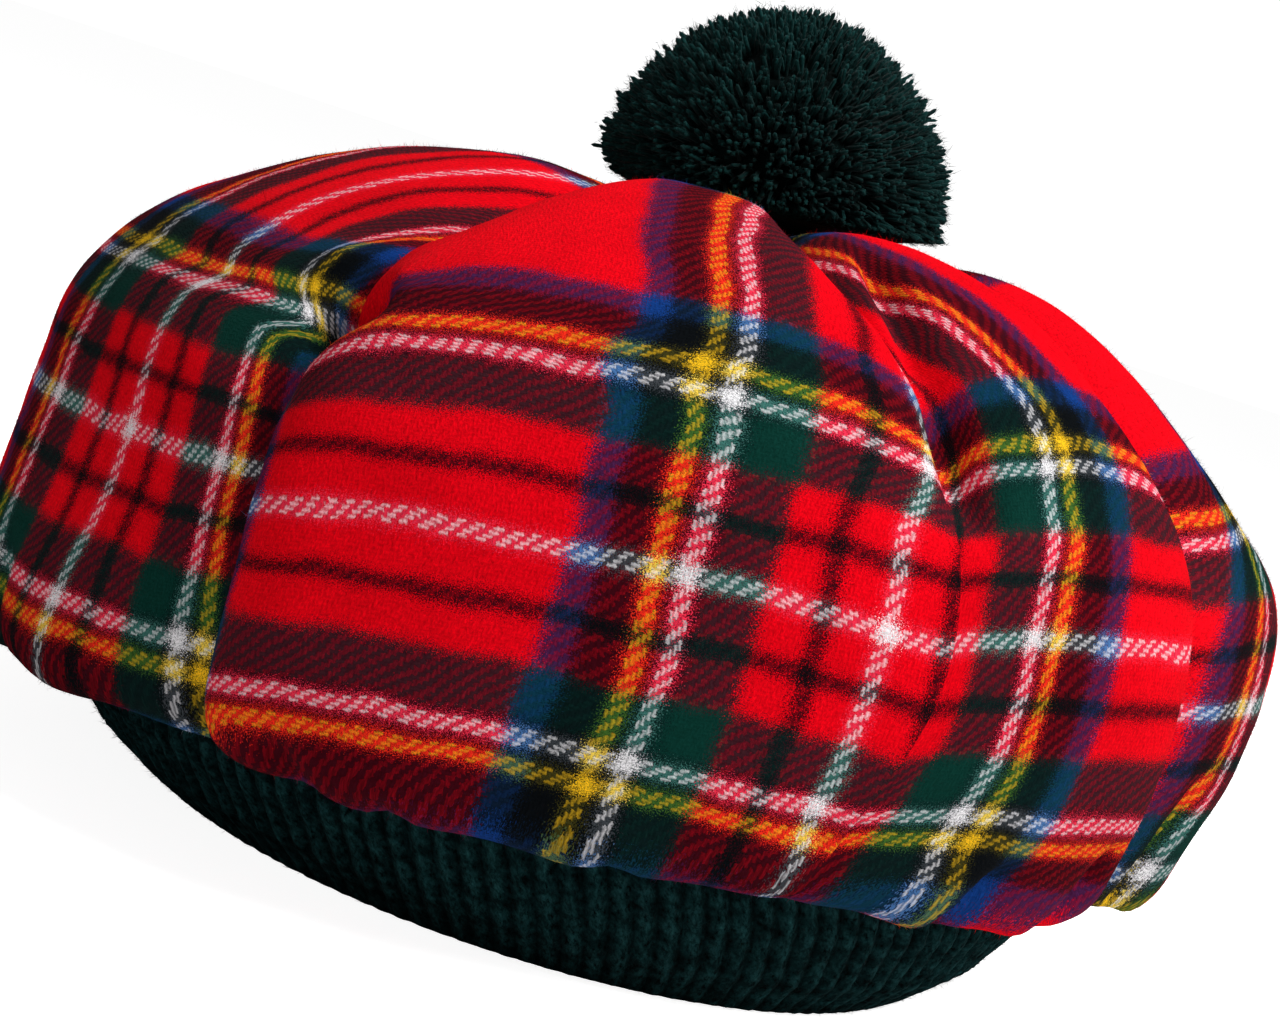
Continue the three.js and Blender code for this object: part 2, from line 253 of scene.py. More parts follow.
def leaning_point(size, azimuth, radius, height):
    """Points of the crown, with its drift to one side, its slump to the other and its lower rear."""
    slump_foot, slump_span, drift_span = 0.4, 0.45, 0.35
    rear_foot, rear_span, rear_reach = 0.45, 0.3, 0.3
    up = (height - seam_height(size)) / size.crown_rise
    slump = size.crown_slump * smooth((up - slump_foot) / slump_span) * radius / size.crown_radius
    drift = size.crown_drift * smooth(up / drift_span)
    rear = size.rear_drop * (1 - np.cos(azimuth)) / 2
    rear = rear * smooth((up - rear_foot) / rear_span) * smooth(radius / (rear_reach * size.crown_radius))
    x = radius * np.sin(azimuth)
    height = height + x * math.tan(size.crown_lean) - rear
    return np.stack((x - slump + drift, -radius * np.cos(azimuth), height), axis=-1)


def crown_rows(size):
    """The radius and height of each row of the crown's profile, from its hem to its centre."""
    seam = seam_height(size)
    rows = [(size.band_top_radius - size.band_thickness + size.seat_gap, seam)]
    overhang = size.crown_radius - size.band_top_radius
    for row in UNDERSIDE_ROWS:
        rows.append((size.band_top_radius + overhang * row["reach"], seam - row["sag"] * size.crown_sag))
    for row in TOP_ROWS:
        rows.append((row["reach"] * size.crown_radius, seam + row["rise"] * size.crown_rise))
    rows.append((0, seam + CENTRE_RISE * size.crown_rise))
    return np.array(rows)


def crown_profile(size, share):
    """Radius, height and outward direction at shares of the profile, and the profile's length."""
    rows = crown_rows(size)
    run = np.concatenate(([0], np.cumsum(np.hypot(*np.diff(rows, axis=0).T))))
    knots = run / run[-1]
    order = np.arange(len(rows))
    before, after = np.maximum(order - 1, 0), np.minimum(order + 1, len(rows) - 1)
    slopes = (rows[after] - rows[before]) / (knots[after] - knots[before])[:, None]
    low = np.clip(np.searchsorted(knots, share, side="right") - 1, 0, len(rows) - 2)
    span = (knots[low + 1] - knots[low])[..., None]
    t = (share - knots[low])[..., None] / span
    start, end = rows[low], rows[low + 1]
    start_slope, end_slope = slopes[low] * span, slopes[low + 1] * span
    point = ((2 * t**3 - 3 * t**2 + 1) * start + (t**3 - 2 * t**2 + t) * start_slope
             + (3 * t**2 - 2 * t**3) * end + (t**3 - t**2) * end_slope)
    way = ((6 * t**2 - 6 * t) * (start - end) + (3 * t**2 - 4 * t + 1) * start_slope
           + (3 * t**2 - 2 * t) * end_slope)
    way /= np.linalg.norm(way, axis=-1, keepdims=True)
    return point[..., 0], point[..., 1], way[..., 1], -way[..., 0], run[-1]


def off_hem(share):
    """How free the cloth is of its sewn hem, from 0 to 1."""
    return smooth((share - HEM_SHARE) / STATIONS["seam"])


def panel_azimuth(panel, across, share):
    start = at_station(TUCKS[panel]["azimuth"], share)
    end = at_station(TUCKS[(panel + 1) % len(TUCKS)]["azimuth"], share)
    if panel == len(TUCKS) - 1:
        end = end + 360
    return np.radians(start + (end - start) * across)


def fold_depth(size, panel, across, share, radius):
    """How deep the cloth lies under the plain profile, for its tucks and gathers."""
    gathers = 3
    left, right = TUCKS[panel], TUCKS[(panel + 1) % len(TUCKS)]
    tuck = at_station(left["depth"], share) * np.exp(-across / left["after"])
    tuck += at_station(right["depth"], share) * np.exp((across - 1) / right["before"])
    gathering = 1 - smooth((share - STATIONS["seam"]) / (STATIONS["waist"] / 2))
    gather = gathering * (1 - np.cos(2 * np.pi * gathers * across)) / 2
    off_centre = smooth(radius / (size.crown_radius * STATIONS["waist"]))
    return off_hem(share) * off_centre * (size.tuck_depth * tuck + size.gather_depth * gather)


def crease_depth(size, azimuth, share, length):
    """How deep the small creases press the cloth in."""
    taper = 0.35
    depth = np.zeros_like(azimuth)
    for crease in CREASES:
        (start_turn, start_share), (end_turn, end_share) = crease["start"], crease["end"]
        turn = np.remainder(azimuth - math.radians(start_turn) + np.pi, 2 * np.pi) - np.pi
        x, y = turn * size.crown_radius, (share - start_share) * length
        reach_x = math.radians(end_turn - start_turn) * size.crown_radius
        reach_y = (end_share - start_share) * length
        reach = math.hypot(reach_x, reach_y)
        along = (x * reach_x + y * reach_y) / reach**2
        beside = (x * reach_y - y * reach_x) / reach
        fade = smooth(along / taper) * smooth((1 - along) / taper)
        depth += crease["depth"] * size.tuck_depth * fade * np.exp(-(beside / (crease["width"] * MM))**2)
    return depth


def panel_reach(size, panel, across, share):
    """How the panel's face stands out or is pulled flat, as a factor on the radius."""
    left, right = TUCKS[panel], TUCKS[(panel + 1) % len(TUCKS)]
    span = panel_azimuth(panel, 1, share) - panel_azimuth(panel, 0, share)
    stand = size.tuck_stand / size.crown_radius
    start = 1 + stand * at_station(left["stand"], share)
    end = 1 + stand * at_station(right["stand"], share)
    straight = start * end * np.sin(span) / (
        start * np.sin(span * across) + end * np.sin(span * (1 - across)))
    arched = start + (end - start) * across
    flat = left["flat"] * at_station(FLATNESS, share)
    return 1 + off_hem(share) * (arched + (straight - arched) * flat - 1)


def crown_surface(size, panel, across, share):
    """Points of one panel of the crown, for grids of shares across it and along it."""
    radius, height, outward, upward, length = crown_profile(size, share)
    azimuth = panel_azimuth(panel, across, share)
    depth = fold_depth(size, panel, across, share, radius)
    depth += crease_depth(size, azimuth, share, length)
    reach = radius * panel_reach(size, panel, across, share) - depth * outward
    hang = off_hem(share) * (1 - smooth((share - STATIONS["seam"]) / STATIONS["waist"]))
    hang *= np.sin(azimuth)**2 * (1 + DROOP_LEAN * np.sin(azimuth))
    drop = depth * upward + size.side_droop * hang
    return leaning_point(size, azimuth, reach, height - drop)


def panel_threads(size, panel, points, across, share, length):
    """Warp and weft thread numbers at the points of one panel."""
    lie = THREADS[panel]
    step = np.linalg.norm(np.diff(points, axis=1), axis=-1)
    run = np.concatenate((np.zeros((len(points), 1)), np.cumsum(step, axis=1)), axis=1)
    part = run / np.maximum(run[:, -1:], TINY)
    left, right = at_station(lie["left"], share), at_station(lie["right"], share)
    shift = at_station(lie["shift"], share)
    shift += at_station(lie["left_pull"], share) * np.exp(-across / PULL_REACH)
    shift += at_station(lie["right_pull"], share) * np.exp((across - 1) / PULL_REACH)
    shift += HEM_EASE * (1 - smooth((share - STATIONS["seam"]) / HEM_REACH))
    weft = share * length / size.thread_pitch + WEFT_AT_HEM + shift
    bow = at_station(lie["bow"], share) * 4 * part * (1 - part)
    return np.stack((left + (right - left) * part + bow, weft), axis=-1)


def hat_axis():
    """The upright axis through the headband, which the crown and pompom are placed from."""
    low, high = (Vector(corner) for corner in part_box("band"))
    return np.array(((low.x + high.x) / 2, (low.y + high.y) / 2, 0))


def mesh_points(mesh):
    place = np.empty(len(mesh.vertices) * 3)
    mesh.vertices.foreach_get("co", place)
    return place.reshape(-1, 3)


def grid_piece(name, wide, tall):
    """A flat grid with the column and row of each of its points and of each face's corners."""
    bpy.ops.object.select_all(action="DESELECT")
    bpy.ops.mesh.primitive_grid_add(x_subdivisions=wide, y_subdivisions=tall, size=1)
    piece = bpy.context.object
    piece.name = piece.data.name = name
    mesh = piece.data
    mesh.uv_layers[0].name = "threads"
    place = mesh_points(mesh) + 0.5
    column = np.rint(place[:, 0] * wide).astype(int)
    row = np.rint(place[:, 1] * tall).astype(int)
    corners = np.empty(len(mesh.loops), dtype=int)
    mesh.loops.foreach_get("vertex_index", corners)
    return piece, column, row, column[corners].reshape(-1, 4), row[corners].reshape(-1, 4)


def place_mesh(piece, points, uvs):
    """Put a mesh's points in place and lay its UV map."""
    mesh = piece.data
    mesh.vertices.foreach_set("co", np.ascontiguousarray(points).ravel())
    mesh.uv_layers[0].data.foreach_set("uv", uvs.astype(np.float32).ravel())
    mesh.update()


def smooth_object(name, points, faces, uvs):
    """A smooth mesh object from arrays of points, faces and the UV of each face's corner."""
    mesh = bpy.data.meshes.new(name)
    mesh.from_pydata(points.tolist(), [], faces)
    layer = mesh.uv_layers.new(name="threads")
    layer.data.foreach_set("uv", np.ascontiguousarray(uvs, dtype=np.float32).ravel())
    piece = bpy.data.objects.new(name, mesh)
    bpy.context.collection.objects.link(piece)
    only(piece)
    bpy.ops.object.shade_smooth()
    return piece


def only(piece):
    """Select one object alone and make it active."""
    bpy.ops.object.select_all(action="DESELECT")
    piece.select_set(True)
    bpy.context.view_layer.objects.active = piece


def finish_mesh(piece):
    """Merge doubled points, turn all faces outwards and shade them smooth."""
    only(piece)
    bpy.ops.object.mode_set(mode="EDIT")
    bpy.ops.mesh.select_all(action="SELECT")
    bpy.ops.mesh.remove_doubles(threshold=1e-5)
    bpy.ops.mesh.normals_make_consistent(inside=False)
    bpy.ops.object.mode_set(mode="OBJECT")
    bpy.ops.object.shade_smooth_by_angle(angle=math.pi)


def fibres(name, roots, ways, bends, width, uvs, seed):
    """Loose fibres as narrow bent slips, each with the UV of its root."""
    halfway, bent, narrowed = 0.55, 0.25, 0.7
    chance = np.random.default_rng(seed)
    side = np.cross(ways, chance.normal(size=ways.shape))
    side /= np.maximum(np.linalg.norm(side, axis=-1, keepdims=True), TINY)
    side *= width / 2
    middle = roots + ways * halfway + bends * bent
    slim, tip = side * narrowed, roots + ways + bends
    points = np.stack((roots - side, roots + side, middle + slim, middle - slim, tip), axis=1)
    base = np.arange(len(roots))[:, None] * 5
    quads = (base + np.array((0, 1, 2, 3))).tolist()
    tips = (base + np.array((3, 2, 4))).tolist()
    corner_uvs = np.concatenate((np.repeat(uvs, 4, axis=0), np.repeat(uvs, 3, axis=0)))
    return smooth_object(name, points.reshape(-1, 3), quads + tips, corner_uvs)


def hair_ways(chance, outward, shortest, extra):
    """Ways and bends of hairs that lean off the outward direction, for lengths in millimetres."""
    unrest, bend = 0.8, 0.3
    way = outward + chance.normal(size=outward.shape) * unrest
    length = (shortest + extra * chance.random(len(outward))**2)[:, None] * MM
    ways = way / np.linalg.norm(way, axis=1, keepdims=True) * length
    return ways, chance.normal(size=outward.shape) * length * bend


def add_node(tree, kind, inputs=None, **settings):
    """Add a shader node with its settings and its inputs' values or links."""
    node = tree.nodes.new(kind)
    for name, value in settings.items():
        setattr(node, name, value)
    for name, value in (inputs or {}).items():
        if isinstance(value, bpy.types.NodeSocket):
            tree.links.new(value, node.inputs[name])
        else:
            node.inputs[name].default_value = value
    return node


def maths(tree, operation, *values):
    """The result of a Math node."""
    node = add_node(tree, "ShaderNodeMath", dict(enumerate(values)), operation=operation)
    return node.outputs[0]


def plus(tree, first, second):
    return maths(tree, "ADD", first, second)


def times(tree, first, second):
    return maths(tree, "MULTIPLY", first, second)


def mix_colours(tree, factor, first, second, blend="MIX"):
    node = add_node(tree, "ShaderNodeMix", {0: factor, 6: first, 7: second}, data_type="RGBA",
                    blend_type=blend)
    return node.outputs[2]


def mix_values(tree, factor, first, second):
    return add_node(tree, "ShaderNodeMix", {0: factor, 2: first, 3: second}).outputs[0]


def noise_value(tree, vector, scale, detail=2, roughness=0.6):
    node = add_node(tree, "ShaderNodeTexNoise",
                    {"Vector": vector, "Scale": scale, "Detail": detail, "Roughness": roughness})
    return node.outputs["Fac"]


def spread(tree, value, low, high):
    """Map a noise value round one half to the range from low to high."""
    node = add_node(tree, "ShaderNodeMapRange",
                    {"Value": value, "From Min": 0.3, "From Max": 0.7, "To Min": low, "To Max": high})
    return node.outputs[0]


def new_group(name, inputs, outputs):
    """An empty shader node group with named sockets, and its input and output nodes."""
    group = bpy.data.node_groups.new(name, "ShaderNodeTree")
    for label, kind, value in inputs:
        socket = group.interface.new_socket(label, in_out="INPUT", socket_type="NodeSocket" + kind)
        if value is not None:
            socket.default_value = value
    for label, kind in outputs:
        group.interface.new_socket(label, in_out="OUTPUT", socket_type="NodeSocket" + kind)
    return group, group.nodes.new("NodeGroupInput"), group.nodes.new("NodeGroupOutput")


def rgba(colour):
    return (*colour, 1)


def sett_group(colours):
    """A thread's colour from its number."""
    group, start, end = new_group("Sett", [("Thread", "Float", 0.0)], [("Colour", "Color")])
    half = SETT[-1][1]
    middle = plus(group, maths(group, "FLOOR", start.outputs["Thread"]), 0.5)
    folded = maths(group, "DIVIDE", maths(group, "PINGPONG", middle, half), half)
    ramp = add_node(group, "ShaderNodeValToRGB", {"Fac": folded})
    ramp.color_ramp.interpolation = "CONSTANT"
    elements = ramp.color_ramp.elements
    begin = 0
    for index, (name, stop) in enumerate(SETT):
        element = elements[index] if index < 2 else elements.new(1)
        element.position = begin / half
        element.color = rgba(getattr(colours, name))
        begin = stop
    group.links.new(ramp.outputs["Color"], end.inputs["Colour"])
    return group


def wool_group():
    """Fine wool hairs and slow unevenness over a surface."""
    group, start, end = new_group(
        "Wool", [("Vector", "Vector", None), ("Hair scale", "Float", 1.0), ("Slow scale", "Float", 0.05)],
        [("Hair", "Float"), ("Slow", "Float")])
    place, hair_scale, slow_scale = (start.outputs[name] for name in ("Vector", "Hair scale", "Slow scale"))
    hairs = []
    for turn in (0.6, -0.9):
        stretched = add_node(group, "ShaderNodeMapping",
                             {"Vector": place, "Rotation": (0, 0, turn), "Scale": (1, 0.35, 1)})
        hairs.append(noise_value(group, stretched.outputs[0], hair_scale, detail=3, roughness=0.7))
    group.links.new(maths(group, "MAXIMUM", *hairs), end.inputs["Hair"])
    group.links.new(noise_value(group, place, slow_scale, roughness=0.5), end.inputs["Slow"])
    return group


def new_material(name, sheen, specular, roughness=0.95):
    material = bpy.data.materials.new(name)
    material.use_nodes = True
    tree = material.node_tree
    shader = tree.nodes["Principled BSDF"]
    shader.inputs["Roughness"].default_value = roughness
    shader.inputs["Specular IOR Level"].default_value = specular
    shader.inputs["Sheen Weight"].default_value = sheen
    shader.inputs["Sheen Roughness"].default_value = 0.5
    return material, tree, shader


def thread_colour(tree, sett, thread):
    return add_node(tree, "ShaderNodeGroup", {"Thread": thread}, node_tree=sett).outputs["Colour"]


def thread_map(tree):
    """The thread numbers at a point, together and one by one."""
    threads = add_node(tree, "ShaderNodeUVMap", uv_map="threads").outputs["UV"]
    parts = add_node(tree, "ShaderNodeSeparateXYZ", {"Vector": threads})
    return threads, parts.outputs["X"], parts.outputs["Y"]


def wool_over(tree, threads, hair_scale, slow_scale):
    """The wool's hairs and its slow unevenness."""
    inputs = {"Vector": threads, "Hair scale": hair_scale, "Slow scale": slow_scale}
    wool = add_node(tree, "ShaderNodeGroup", inputs, node_tree=wool_group())
    return wool.outputs["Hair"], wool.outputs["Slow"]


def lay_surface(tree, shader, colour, light, height, strength, distance):
    """Join a colour, the light that falls on its fibres and its low relief to the shader."""
    shade = add_node(tree, "ShaderNodeCombineColor", {0: light, 1: light, 2: light})
    shaded = mix_colours(tree, 1.0, colour, shade.outputs[0], blend="MULTIPLY")
    tree.links.new(shaded, shader.inputs["Base Color"])
    bump = add_node(tree, "ShaderNodeBump", {"Strength": strength, "Distance": distance, "Height": height})
    tree.links.new(bump.outputs["Normal"], shader.inputs["Normal"])


def tartan_cloth_material(colours):
    """Brushed wool in a two-and-two twill, woven from the sett both ways."""
    material, tree, shader = new_material("tartan_cloth", sheen=0.012, specular=0.0)
    threads, across, along = thread_map(tree)
    wander = spread(tree, noise_value(tree, threads, 1.3), -0.3, 0.3)
    drift = spread(tree, noise_value(tree, threads, 0.045), -1.1, 1.1)
    shaken = plus(tree, wander, drift)
    warp, weft = plus(tree, across, shaken), maths(tree, "SUBTRACT", along, shaken)
    sett = sett_group(colours)
    step = maths(tree, "SUBTRACT", maths(tree, "FLOOR", warp), maths(tree, "FLOOR", weft))
    phase = maths(tree, "FLOORED_MODULO", step, 4)
    warp_over = maths(tree, "LESS_THAN", phase, 2)
    woven = mix_colours(tree, warp_over, thread_colour(tree, sett, weft), thread_colour(tree, sett, warp))
    hair, slow = wool_over(tree, threads, hair_scale=1.6, slow_scale=0.05)

    # The nap carries each colour a few threads over, and felts the two colours that cross there.
    nap_reach, felting, astray = 3.4, 0.5, []
    for thread, scale in ((warp, 2.6), (weft, 3.1)):
        reach = spread(tree, noise_value(tree, threads, scale, detail=3), -nap_reach, nap_reach)
        astray.append(thread_colour(tree, sett, plus(tree, thread, reach)))
    crossed = mix_colours(tree, 1.0, *astray, blend="MULTIPLY")
    felted = add_node(tree, "ShaderNodeGamma", {"Color": crossed, "Gamma": felting}).outputs[0]

    # Bright threads keep more of their own colour along their middle.
    middles = [maths(tree, "PINGPONG", thread, 0.5) for thread in (weft, warp)]
    round_thread = mix_values(tree, warp_over, *middles)
    bright = add_node(tree, "ShaderNodeSeparateColor", {"Color": woven}).outputs["Green"]
    keeps = maths(tree, "SUBTRACT", 1, times(tree, bright, round_thread))
    woven = mix_colours(tree, times(tree, spread(tree, hair, 1.0, 0.82), keeps), woven, felted)
    # Painted shade: each thread is lighter along its middle and shaded at its edges.
    light = plus(tree, spread(tree, hair, 0.5, 1.15), times(tree, round_thread, 0.45))
    light = times(tree, light, spread(tree, slow, 0.9, 1.04))
    height = plus(tree, times(tree, round_thread, 0.9), times(tree, hair, 1.2))
    lay_surface(tree, shader, woven, light, height, strength=0.5, distance=0.4 * MM)
    return material


def knit_material(colours):
    """Dark rib-knit wool, hairy, with its stitches as low rows of loops, and painted shade in the grooves
    between its ribs and between its loops.
    """
    material, tree, shader = new_material("rib_knit", sheen=0.005, specular=0.01)
    stitches, rib, row = thread_map(tree)
    hair, slow = wool_over(tree, stitches, hair_scale=4.5, slow_scale=0.9)
    # Painted shade: the knit is darker in the grooves between its ribs and between the rows of loops.
    groove_shade = maths(tree, "PINGPONG", rib, 0.5)
    vee = maths(tree, "PINGPONG", plus(tree, row, times(tree, maths(tree, "PINGPONG", rib, 0.25), 2)), 0.5)
    light = plus(tree, spread(tree, hair, -0.9, 2.9), times(tree, vee, 0.3))
    light = times(tree, light, spread(tree, slow, 0.35, 1.65))
    light = maths(tree, "MAXIMUM", light, 0.08)
    light = times(tree, light, plus(tree, 0.3, times(tree, groove_shade, 1.9)))
    height = plus(tree, times(tree, vee, 0.35), hair)
    lay_surface(tree, shader, rgba(colours.knit), light, height, strength=0.7, distance=0.7 * MM)
    return material


def pompom_material(colours):
    """Cut yarn with painted shade, dark at its root deep in the ball and paler at its frayed end, each yarn
    with a tone of its own.
    """
    material, tree, shader = new_material("pompom_yarn", sheen=0.04, specular=0.06)
    _, lengthwise, own = thread_map(tree)
    tip = maths(tree, "POWER", lengthwise, 2.0)
    ply = noise_value(tree, add_node(tree, "ShaderNodeTexCoord").outputs["Object"], 1600)
    # Painted shade: each yarn darkens towards its root, inside the ball; its own value sets its tone.
    light = times(tree, plus(tree, 0.25, times(tree, tip, 1.05)), plus(tree, 0.4, times(tree, own, 1.2)))
    light = times(tree, light, spread(tree, ply, 0.6, 1.35))
    lay_surface(tree, shader, rgba(colours.pompom), light, ply, strength=0.5, distance=0.3 * MM)
    return material


def dress(piece, node, material):
    """Give a piece its material and its body, and hide the CAD node that it stands for."""
    piece.data.materials.clear()
    piece.data.materials.append(material)
    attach(piece, "root")
    if node:
        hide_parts(node)


class BONNET_OT_crown(bpy.types.Operator):
    """Make the tartan crown: one gathered cloth shell, with its brushed nap"""
    bl_idname = "bonnet.crown"
    bl_label = "Tartan crown"

    columns = 46
    rows = 128
    nap_count = 62000
    nap_width = 0.06 * MM
    nap_root = 0.1
    nap_middle = np.array((0, 0, 0.05))
    rumple_middle = np.array((0, 0, 0.06))

    def grids(self, size):
        """Points and thread numbers of each panel, row by row from hem to centre."""
        crowding = 0.55
        step = np.linspace(0, 1, self.columns + 1)
        across_row = (1 - crowding) * step + crowding * (1 - np.cos(np.pi * step)) / 2
        share_column = np.linspace(0, 1, self.rows + 1)
        across, share = np.meshgrid(across_row, share_column)
        length = crown_profile(size, share)[-1]
        points, threads = [], []
        for panel in range(len(TUCKS)):
            panel_points = crown_surface(size, panel, across, share)
            points.append(panel_points)
            threads.append(panel_threads(size, panel, panel_points, across, share, length))
        return np.array(points) + hat_axis(), np.array(threads)

    def rumple(self, points):
        """Move the cloth in and out a little, as soft wool never lies quite true."""
        still_height, full_height = 0.04, 0.06
        flat = points.reshape(-1, 3)
        waves = np.zeros(len(flat))
        for fineness, depth in ((24, 1.6), (90, 0.35)):
            waves += np.array([noise.noise(Vector(point) * fineness) for point in flat]) * depth * MM
        away = flat - self.rumple_middle
        away /= np.linalg.norm(away, axis=1, keepdims=True)
        share = np.clip((flat[:, 2] - still_height) / (full_height - still_height), 0, 1)
        return (flat + away * (waves * share)[:, None]).reshape(points.shape)

    def shell(self, size, points, threads):
        """The cloth as a grid, rolled round, closed at the centre and given its thickness."""
        wide = self.columns * len(TUCKS)
        piece, column, row, corner_column, corner_row = grid_piece("tartan_crown", wide, self.rows)
        panel = np.minimum(column // self.columns, len(TUCKS) - 1)
        face_panel = np.repeat(corner_column.min(axis=1)[:, None] // self.columns, 4, axis=1)
        uvs = threads[face_panel, corner_row, corner_column - face_panel * self.columns]
        place_mesh(piece, points[panel, row, column - panel * self.columns], uvs)
        finish_mesh(piece)
        wall = piece.modifiers.new("wall", "SOLIDIFY")
        wall.thickness = size.cloth_thickness
        wall.offset = -1
        bpy.ops.object.modifier_apply(modifier="wall")
        return piece

    def nap(self, points, threads):
        """Short wool hairs that stand off the cloth."""
        chance = np.random.default_rng(11)
        corner = points[:, :-1, :-1]
        normal = np.cross(points[:, :-1, 1:] - corner, points[:, 1:, :-1] - corner)
        area = np.linalg.norm(normal, axis=-1).ravel()
        cell = chance.choice(area.size, self.nap_count, p=area / area.sum())
        panel, row, column = np.unravel_index(cell, normal.shape[:3])
        x, y = chance.random((2, self.nap_count, 1))

        def inside(grid):
            low = grid[panel, row, column] * (1 - x) + grid[panel, row, column + 1] * x
            high = grid[panel, row + 1, column] * (1 - x) + grid[panel, row + 1, column + 1] * x
            return low * (1 - y) + high * y

        way = normal.reshape(-1, 3)[cell]
        way /= np.linalg.norm(way, axis=1, keepdims=True)
        outward = np.sign((way * (points[panel, row, column] - self.nap_middle)).sum(axis=1))
        way *= np.where(outward == 0, 1, outward)[:, None]
        ways, bends = hair_ways(chance, way, shortest=0.5, extra=1.0)
        roots = inside(points) - ways * self.nap_root
        return fibres("crown_nap", roots, ways, bends, self.nap_width, inside(threads), seed=12)

    def execute(self, context):
        size, colours = context.scene.bonnet_sizes, context.scene.bonnet_colours
        points, threads = self.grids(size)
        points = self.rumple(points)
        material = tartan_cloth_material(colours)
        shell = self.shell(size, points, threads)
        dress(shell, "crown", material)
        nap = self.nap(points, threads)
        dress(nap, None, material)
        return {"FINISHED"}


class BONNET_OT_band(bpy.types.Operator):
    """Make the rib-knit headband, with its ribs and loose wool"""
    bl_idname = "bonnet.band"
    bl_label = "Rib-knit headband"

    columns_per_rib = 6
    rows = 64
    stitch_rows = 26
    hair_count = 30000
    hair_width = 0.07 * MM
    outer_turn = 0.46
    edge_turn = 0.06

    def section(self, turn):
        """How high and how far in the knit's closed section is, for turns round it from the rim."""
        outer, edge = self.outer_turn, self.edge_turn
        top, inner = outer + edge, 1 - edge
        walls = (turn < outer, turn < top, turn < inner)
        height = np.select(walls, (turn / outer, np.ones_like(turn), 1 - (turn - top) / (inner - top)), 0)
        inset = np.select(walls, (np.zeros_like(turn), (turn - outer) / edge, np.ones_like(turn)),
                          1 - (turn - inner) / edge)
        return height, np.clip(inset, 0, 1)

    def fuzz(self, azimuth, height):
        """How the knit swells and shrinks from loop to loop."""
        round_scale, up_scale, swell = 70, 24, 0.38 * MM
        flat = zip(np.sin(azimuth) * round_scale, np.cos(azimuth) * round_scale, height * up_scale)
        return np.array([noise.noise(Vector(place)) for place in flat]) * swell

    def points(self, size, azimuth, turn):
        """Points of the headband, for places along its ribs and turns round its section."""
        twist, twist_at_sides = 0.12, 0.14
        rim_ribs, rib_start, groove_power, groove_scale, inner_rib = 0.35, 0.14, 1.3, 1.3, 0.35
        lump_depth, lump_rows, lump_shift = 0.024, 62, 1.2
        rim_round, rim_share = 0.7 * MM, 0.05
        height, inset = self.section(turn)
        outside = 1 - inset
        loop = np.cos(azimuth * size.rib_count)
        rib = (1 - loop) / 2 * (rim_ribs + (1 - rim_ribs) * smooth(height / rib_start))
        lumps = lump_depth * np.sin(height * lump_rows + loop * lump_shift)
        azimuth = azimuth + (1 - height) * (twist + twist_at_sides * np.sin(azimuth))
        heights, flares = ([row[name] for row in reversed(BAND_ROWS)] for name in ("height", "flare"))
        radius = size.band_rim_radius
        radius += (size.band_top_radius - size.band_rim_radius) * np.interp(height, heights, flares)
        radius = radius - inset * size.band_thickness
        radius = radius - size.rib_depth * outside * (rib**groove_power * groove_scale + lumps)
        radius = radius + size.rib_depth * inner_rib * inset * rib
        radius = radius + self.fuzz(azimuth, height) * outside
        top = size.band_height + radius * np.sin(azimuth) * math.tan(size.crown_lean)
        rim = np.sin(np.pi * np.clip(height / rim_share, 0, 1) / 2)
        radius = radius - rim_round * (1 - rim) * np.cos(np.pi * inset)
        return np.stack((radius * np.sin(azimuth), -radius * np.cos(azimuth), top * height), axis=-1)

    def execute(self, context):
        size, colours = context.scene.bonnet_sizes, context.scene.bonnet_colours
        columns = size.rib_count * self.columns_per_rib
        piece, column, row, corner_column, corner_row = grid_piece("knit_band", columns, self.rows)
        place = self.points(size, column * (2 * np.pi / columns), (row % self.rows) / self.rows)
        ribs = corner_column / self.columns_per_rib + 0.5
        uvs = np.stack((ribs, corner_row / self.rows * self.stitch_rows), axis=-1)
        place_mesh(piece, place + hat_axis(), uvs)
        finish_mesh(piece)
        material = knit_material(colours)
        dress(piece, "band", material)
        self.hairs(size, material)
        return {"FINISHED"}

    def hairs(self, size, material):
        """Loose wool hairs on the outer wall, none of which reaches the ground."""
        ground_share = 0.8
        chance = np.random.default_rng(21)
        azimuth = chance.random(self.hair_count) * 2 * np.pi
        turn = chance.random(self.hair_count) * self.outer_turn
        roots = self.points(size, azimuth, turn)
        outward = np.stack((np.sin(azimuth), -np.cos(azimuth), np.zeros_like(azimuth)), axis=-1)
        ways, bends = hair_ways(chance, outward, shortest=0.7, extra=1.5)
        ways[:, 2] = np.maximum(ways[:, 2], -roots[:, 2] * ground_share)
        bends[:, 2] = np.abs(bends[:, 2])
        uvs = np.stack((azimuth / (2 * np.pi) * size.rib_count + 0.5, turn * self.stitch_rows), axis=-1)
        hairs = fibres("band_hairs", roots + hat_axis(), ways, bends, self.hair_width, uvs, seed=22)
        dress(hairs, None, material)


